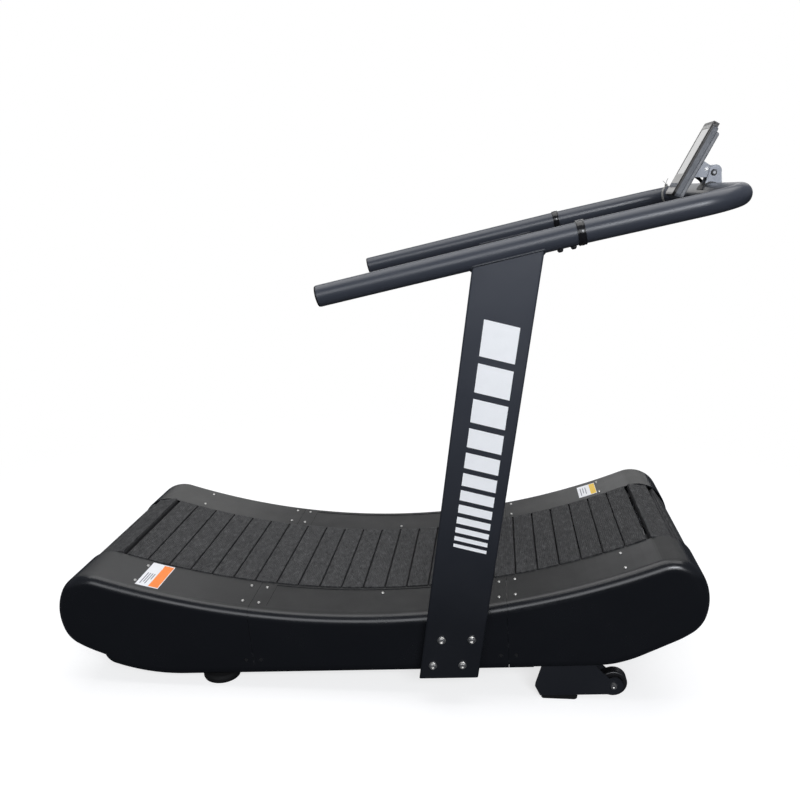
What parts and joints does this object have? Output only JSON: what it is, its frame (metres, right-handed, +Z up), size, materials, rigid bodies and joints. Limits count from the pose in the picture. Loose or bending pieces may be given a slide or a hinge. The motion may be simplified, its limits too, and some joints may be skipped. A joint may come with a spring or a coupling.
{
  "type": "curved manual treadmill",
  "caption": "Self-powered treadmill with a concave slatted running belt, side covers, leaning box-section uprights, a tubular handrail loop and a tilting console.",
  "frame": {"origin": "on the floor under the middle of the machine's bounding box", "axes": "+X forward towards the console, +Y to the user's left, +Z up"},
  "size_m": [1.7935, 0.8728, 1.5221],
  "materials": {
    "cover_plastic": "satin black moulded shell",
    "frame_paint": "dark blue-grey powder coat",
    "base_paint": "black powder coat",
    "zinc_steel": "bright zinc plated",
    "shaft_steel": "ground steel",
    "black_bolt": "black oxide",
    "slat_alu": "dark anodised extrusion",
    "tread_rubber": "matt moulded rubber",
    "belt_rubber": "matt rubber belt",
    "pulley_metal": "machined rim",
    "bearing_iron": "painted casting",
    "roller_nylon": "natural nylon",
    "black_plastic": "fine grained black plastic",
    "foot_rubber": "textured black rubber",
    "wheel_plastic": "hard polyurethane",
    "console_grey": "blue-grey moulded shell",
    "console_face": "light grey face",
    "console_lens": "dark clear window",
    "button_rubber": "grey silicone",
    "bracket_steel": "plain steel plate",
    "cable_jacket": "black jacket",
    "tie_plastic": "natural nylon strap"
  },
  "bodies": {
    "frame": {"base_rail_left": "base_paint", "base_rail_right": "base_paint", "bearing_housings": "bearing_iron", "bearing_inserts": "shaft_steel", "belt_tensioners": "zinc_steel", "cable_tie": "tie_plastic", "console_bracket": "bracket_steel", "console_cable": "cable_jacket", "console_pivot_bolt": "zinc_steel", "cover_cleats": "zinc_steel", "cover_screws": "zinc_steel", "cross_members": "base_paint", "drive_belts": "belt_rubber", "front_cover_left": "cover_plastic", "front_cover_right": "cover_plastic", "front_foot_brackets": "base_paint", "front_foot_pads": "foot_rubber", "front_u_bar": "frame_paint", "guide_rollers": "roller_nylon", "handrail_bolts": "black_bolt", "handrail_end_plugs": "black_plastic", "handrail_left": "frame_paint", "handrail_right": "frame_paint", "joint_collars": "black_plastic", "joint_sleeves": "shaft_steel", "middle_cover_left": "cover_plastic", "middle_cover_right": "cover_plastic", "outriggers": "base_paint", "rear_cover_left": "cover_plastic", "rear_cover_right": "cover_plastic", "roller_bolts": "zinc_steel", "side_plate_left": "base_paint", "side_plate_right": "base_paint", "slat_carriers": "slat_alu", "slat_treads": "tread_rubber", "speed_sensor": "black_plastic", "upright_bolts": "zinc_steel", "upright_left": "frame_paint", "upright_right": "frame_paint", "upright_spacers": "zinc_steel", "wheel_bolts": "zinc_steel"},
    "front_roller": {"front_shaft": "shaft_steel", "front_pulleys": "pulley_metal"},
    "rear_roller": {"rear_shaft": "shaft_steel", "rear_pulleys": "pulley_metal"},
    "wheel_right": {"transport_wheel_right": "wheel_plastic"},
    "wheel_left": {"transport_wheel_left": "wheel_plastic"},
    "console": {"console_mount_plate": "bracket_steel", "console_back_cover": "console_grey", "console_housing": "console_grey", "console_bezel": "console_face", "console_lens": "console_lens"},
    "button_1": {"console_button_1": "button_rubber"},
    "button_2": {"console_button_2": "button_rubber"},
    "button_3": {"console_button_3": "button_rubber"},
    "button_4": {"console_button_4": "button_rubber"},
    "foot_right": {"rear_foot_right": "foot_rubber", "rear_foot_stud_right": "zinc_steel"},
    "foot_left": {"rear_foot_left": "foot_rubber", "rear_foot_stud_left": "zinc_steel"}
  },
  "joints": [
    {"name": "front_roller_spin", "type": "hinge", "parent": "frame", "child": "front_roller", "pos_m": [0.78035, 0, 0.33384], "axis": [0, 1, 0], "continuous": true},
    {"name": "rear_roller_spin", "type": "hinge", "parent": "frame", "child": "rear_roller", "pos_m": [-0.78359, 0, 0.23271], "axis": [0, 1, 0], "continuous": true},
    {"name": "wheel_spin_right", "type": "hinge", "parent": "frame", "child": "wheel_right", "pos_m": [0.66114, -0.344, 0.04494], "axis": [0, 1, 0], "continuous": true},
    {"name": "wheel_spin_left", "type": "hinge", "parent": "frame", "child": "wheel_left", "pos_m": [0.66114, 0.344, 0.04494], "axis": [0, 1, 0], "continuous": true},
    {"name": "console_tilt", "type": "hinge", "parent": "frame", "child": "console", "pos_m": [0.86725, 0, 1.39806], "axis": [0, 1, 0], "range_deg": [-12, 15]},
    {"name": "button_press_1", "type": "slide", "parent": "console", "child": "button_1", "axis": [0.8969, 0, -0.4423], "range_m": [0, 0.001], "stiffness_N_per_m": 200},
    {"name": "button_press_2", "type": "slide", "parent": "console", "child": "button_2", "axis": [0.8969, 0, -0.4423], "range_m": [0, 0.001], "stiffness_N_per_m": 200},
    {"name": "button_press_3", "type": "slide", "parent": "console", "child": "button_3", "axis": [0.8969, 0, -0.4423], "range_m": [0, 0.001], "stiffness_N_per_m": 200},
    {"name": "button_press_4", "type": "slide", "parent": "console", "child": "button_4", "axis": [0.8969, 0, -0.4423], "range_m": [0, 0.001], "stiffness_N_per_m": 200},
    {"name": "foot_height_right", "type": "slide", "parent": "frame", "child": "foot_right", "axis": [0, 0, 1], "range_m": [-0.02, 0]},
    {"name": "foot_height_left", "type": "slide", "parent": "frame", "child": "foot_left", "axis": [0, 0, 1], "range_m": [-0.02, 0]}
  ],
  "couplings": [
    {"joint": "rear_roller_spin", "follows": "front_roller_spin", "ratio": 1}
  ]
}
